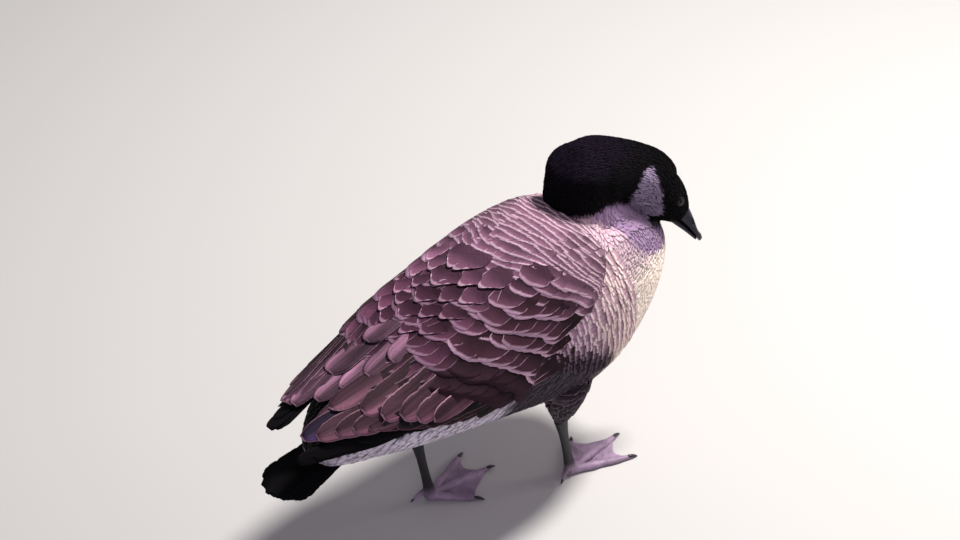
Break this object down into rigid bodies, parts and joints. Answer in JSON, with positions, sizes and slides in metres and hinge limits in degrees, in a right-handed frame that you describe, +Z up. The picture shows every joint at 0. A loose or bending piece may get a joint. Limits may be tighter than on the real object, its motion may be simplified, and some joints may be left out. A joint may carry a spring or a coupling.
{
  "type": "canada goose",
  "caption": "Life-size standing goose in mid stride, its wings folded, neck drawn in and head bowed to its right.",
  "frame": {"origin": "on the floor, under the middle of the whole bird's bounding box", "axes": "+X the way the bird faces, +Y its left side, +Z up"},
  "size_m": [0.5998, 0.2058, 0.4192],
  "materials": {
    "plumage_black": "matt",
    "plumage_pale": "matt",
    "plumage_brown": "matt",
    "wing_feathers": "satin",
    "tail_feathers": "satin",
    "bill": "satin",
    "eye": "glossy",
    "leg_skin": "satin"
  },
  "bodies": {
    "root": {"bill_lower": "bill", "bill_upper": "bill", "eye_left": "eye", "eye_right": "eye", "foot_left": "leg_skin", "foot_right": "leg_skin", "head": "plumage_black", "neck_lower": "plumage_black", "neck_upper": "plumage_black", "primaries_left": "tail_feathers", "primaries_right": "tail_feathers", "shank_left": "leg_skin", "shank_right": "leg_skin", "tail": "tail_feathers", "thigh_left": "plumage_brown", "thigh_right": "plumage_brown", "torso": "plumage_pale", "wing_left": "wing_feathers", "wing_right": "wing_feathers"}
  },
  "joints": []
}
